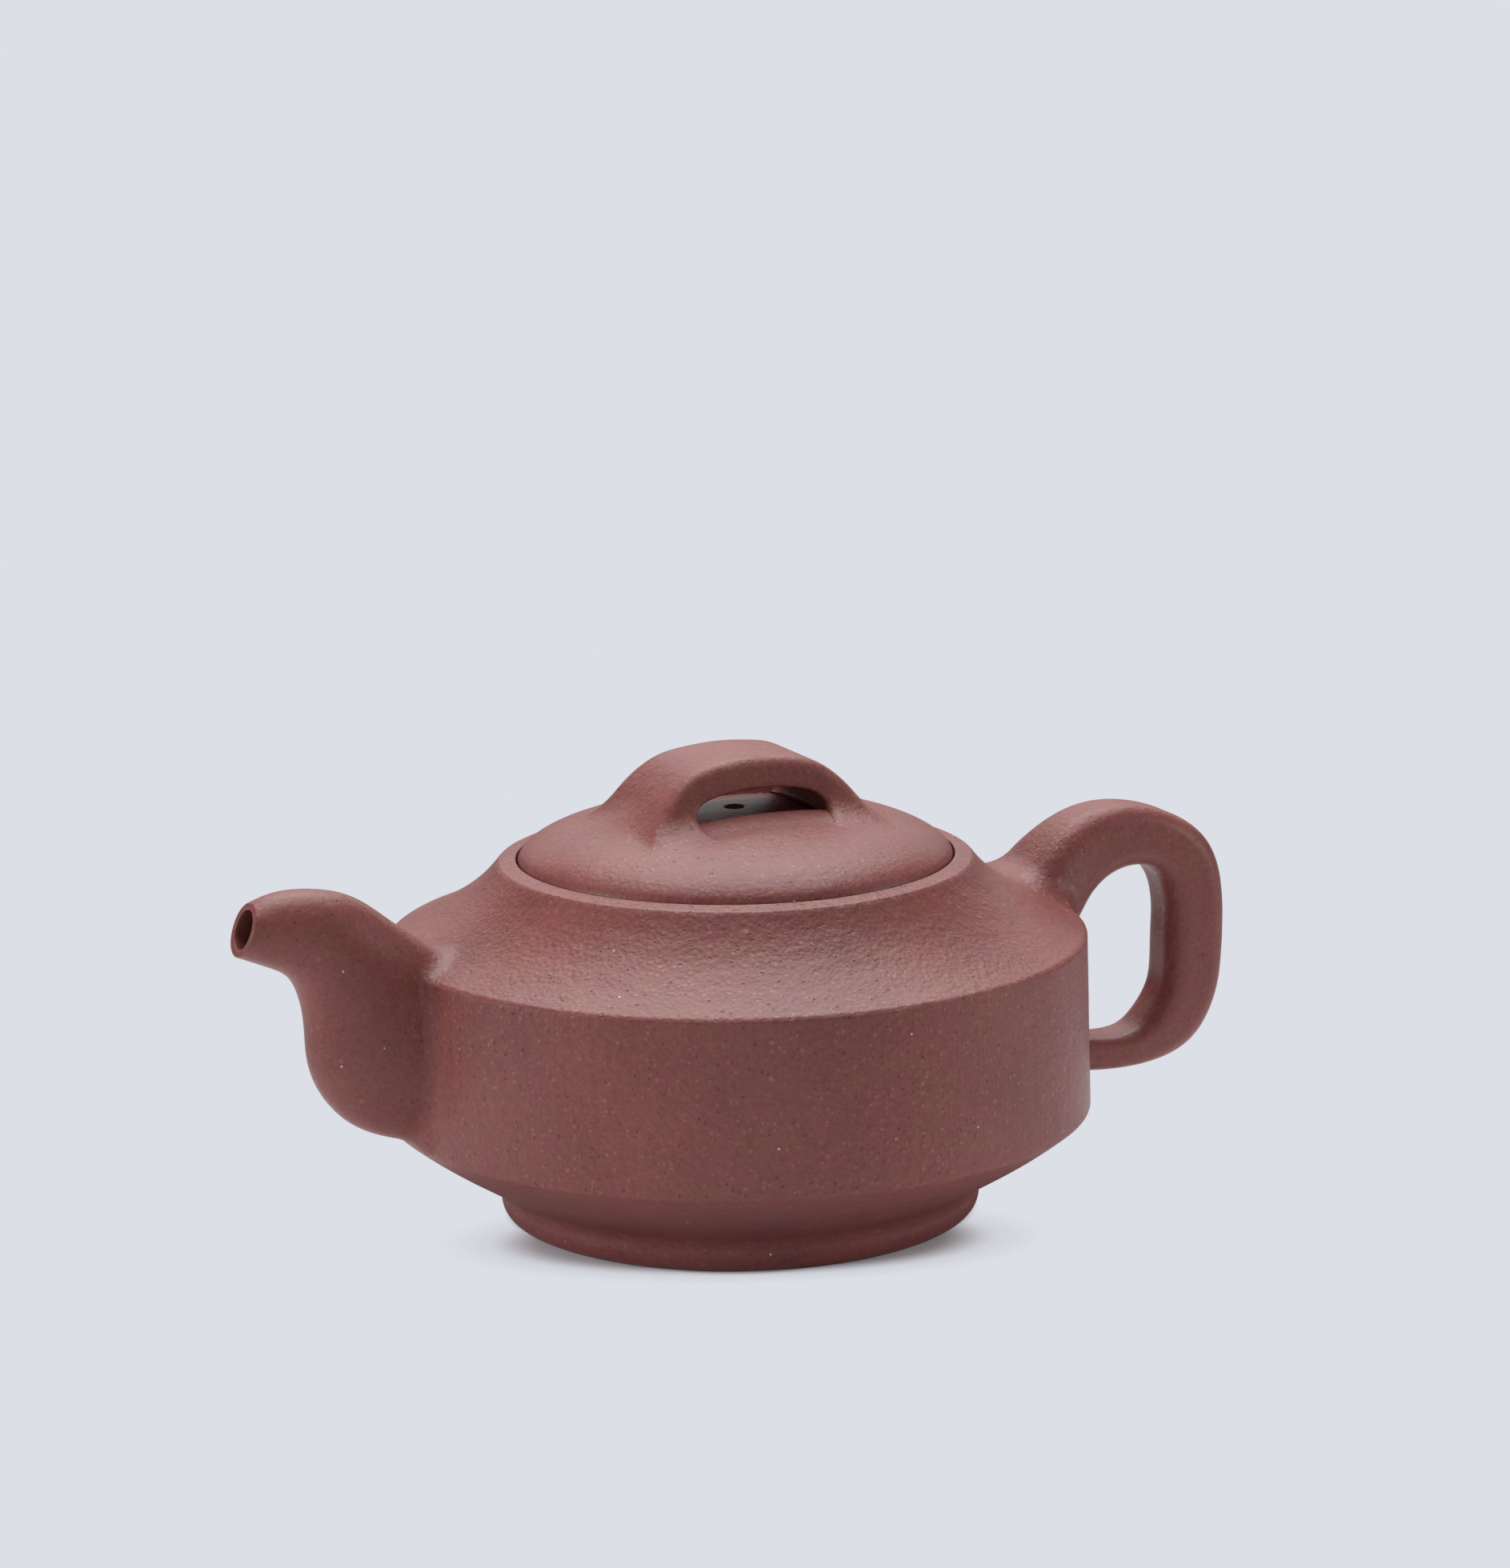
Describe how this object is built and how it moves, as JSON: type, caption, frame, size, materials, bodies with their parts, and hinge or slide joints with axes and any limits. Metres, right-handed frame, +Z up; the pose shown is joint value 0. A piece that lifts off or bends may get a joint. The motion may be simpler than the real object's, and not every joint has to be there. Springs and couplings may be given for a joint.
{
  "type": "clay teapot",
  "caption": "Round straight-walled clay teapot on a ring foot, with a short bent spout, an ear handle and a lift-off domed lid with a bridge knob.",
  "frame": {"origin": "centre of the foot ring's resting face, on the axis of the body", "axes": "+Z up along the body's axis, -X towards the spout's mouth, +X towards the handle"},
  "size_m": [0.1717, 0.1126, 0.0756],
  "materials": {
    "clay": "unglazed, satin"
  },
  "bodies": {
    "pot": {"foot_ring": "clay", "base": "clay", "body_wall": "clay", "shoulder": "clay", "mouth_ring": "clay", "spout": "clay", "strainer": "clay", "handle": "clay"},
    "lid_carrier": {"lid_flange": "clay"},
    "lid": {"lid_disc": "clay", "knob": "clay"}
  },
  "joints": [
    {"name": "lid_lift", "type": "slide", "parent": "pot", "child": "lid_carrier", "axis": [0, 0, 1], "range_m": [0, 0.06]},
    {"name": "lid_turn", "type": "hinge", "parent": "lid_carrier", "child": "lid", "pos_m": [0, 0, 0.0555], "axis": [0, 0, 1], "continuous": true}
  ]
}
